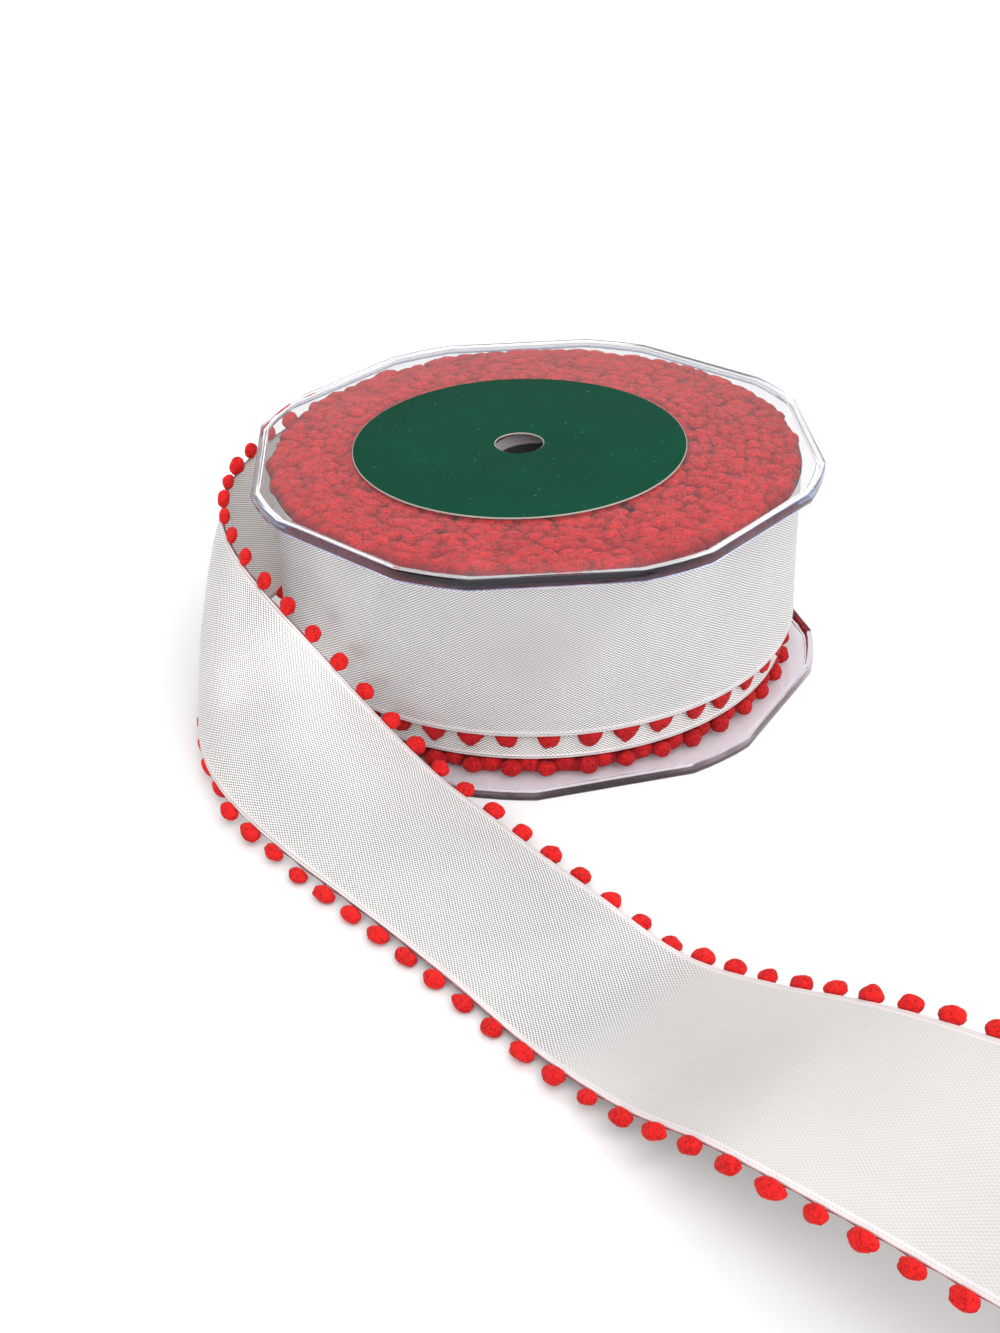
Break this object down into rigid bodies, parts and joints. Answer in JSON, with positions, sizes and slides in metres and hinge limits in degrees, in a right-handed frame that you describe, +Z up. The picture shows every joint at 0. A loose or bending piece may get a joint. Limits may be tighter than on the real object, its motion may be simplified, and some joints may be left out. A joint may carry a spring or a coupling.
{
  "type": "pompom-edge ribbon on a spool",
  "caption": "Satin ribbon with pompoms along both edges, wound on a clear flanged spool, with its loose end lying turned over on the table.",
  "frame": {"origin": "centre of the whole object's bounding box, at the level of the table that it stands on", "axes": "+Z up along the spool's axis, +X to the right and +Y away from the viewer, with the spool at the back left and the cut end at the front right"},
  "size_m": [0.2708, 0.3566, 0.0557],
  "materials": {
    "clear_plastic": "clear moulded plastic, polished",
    "core_plastic": "clear moulded plastic, smoky in the bore",
    "label_paper": "coated paper, deep green, bare",
    "satin": "off-white woven satin with a soft sheen",
    "pompom_yarn": "bright red cut yarn, matt and fuzzy"
  },
  "bodies": {
    "root": {"spool_lower_flange": "clear_plastic", "spool_upper_flange": "clear_plastic", "spool_core": "core_plastic", "spool_label": "label_paper", "ribbon_roll": "satin", "upper_pompom_bed": "pompom_yarn", "lower_pompom_bed": "pompom_yarn", "outer_turn_pompoms": "pompom_yarn", "ribbon_loose_end": "satin", "upper_edge_pompoms_1": "pompom_yarn", "upper_edge_pompoms_2": "pompom_yarn", "upper_edge_pompoms_3": "pompom_yarn", "upper_edge_pompoms_4": "pompom_yarn", "upper_edge_pompoms_5": "pompom_yarn", "lower_edge_pompoms_1": "pompom_yarn", "lower_edge_pompoms_2": "pompom_yarn", "lower_edge_pompoms_3": "pompom_yarn", "lower_edge_pompoms_4": "pompom_yarn", "lower_edge_pompoms_5": "pompom_yarn"}
  },
  "joints": []
}
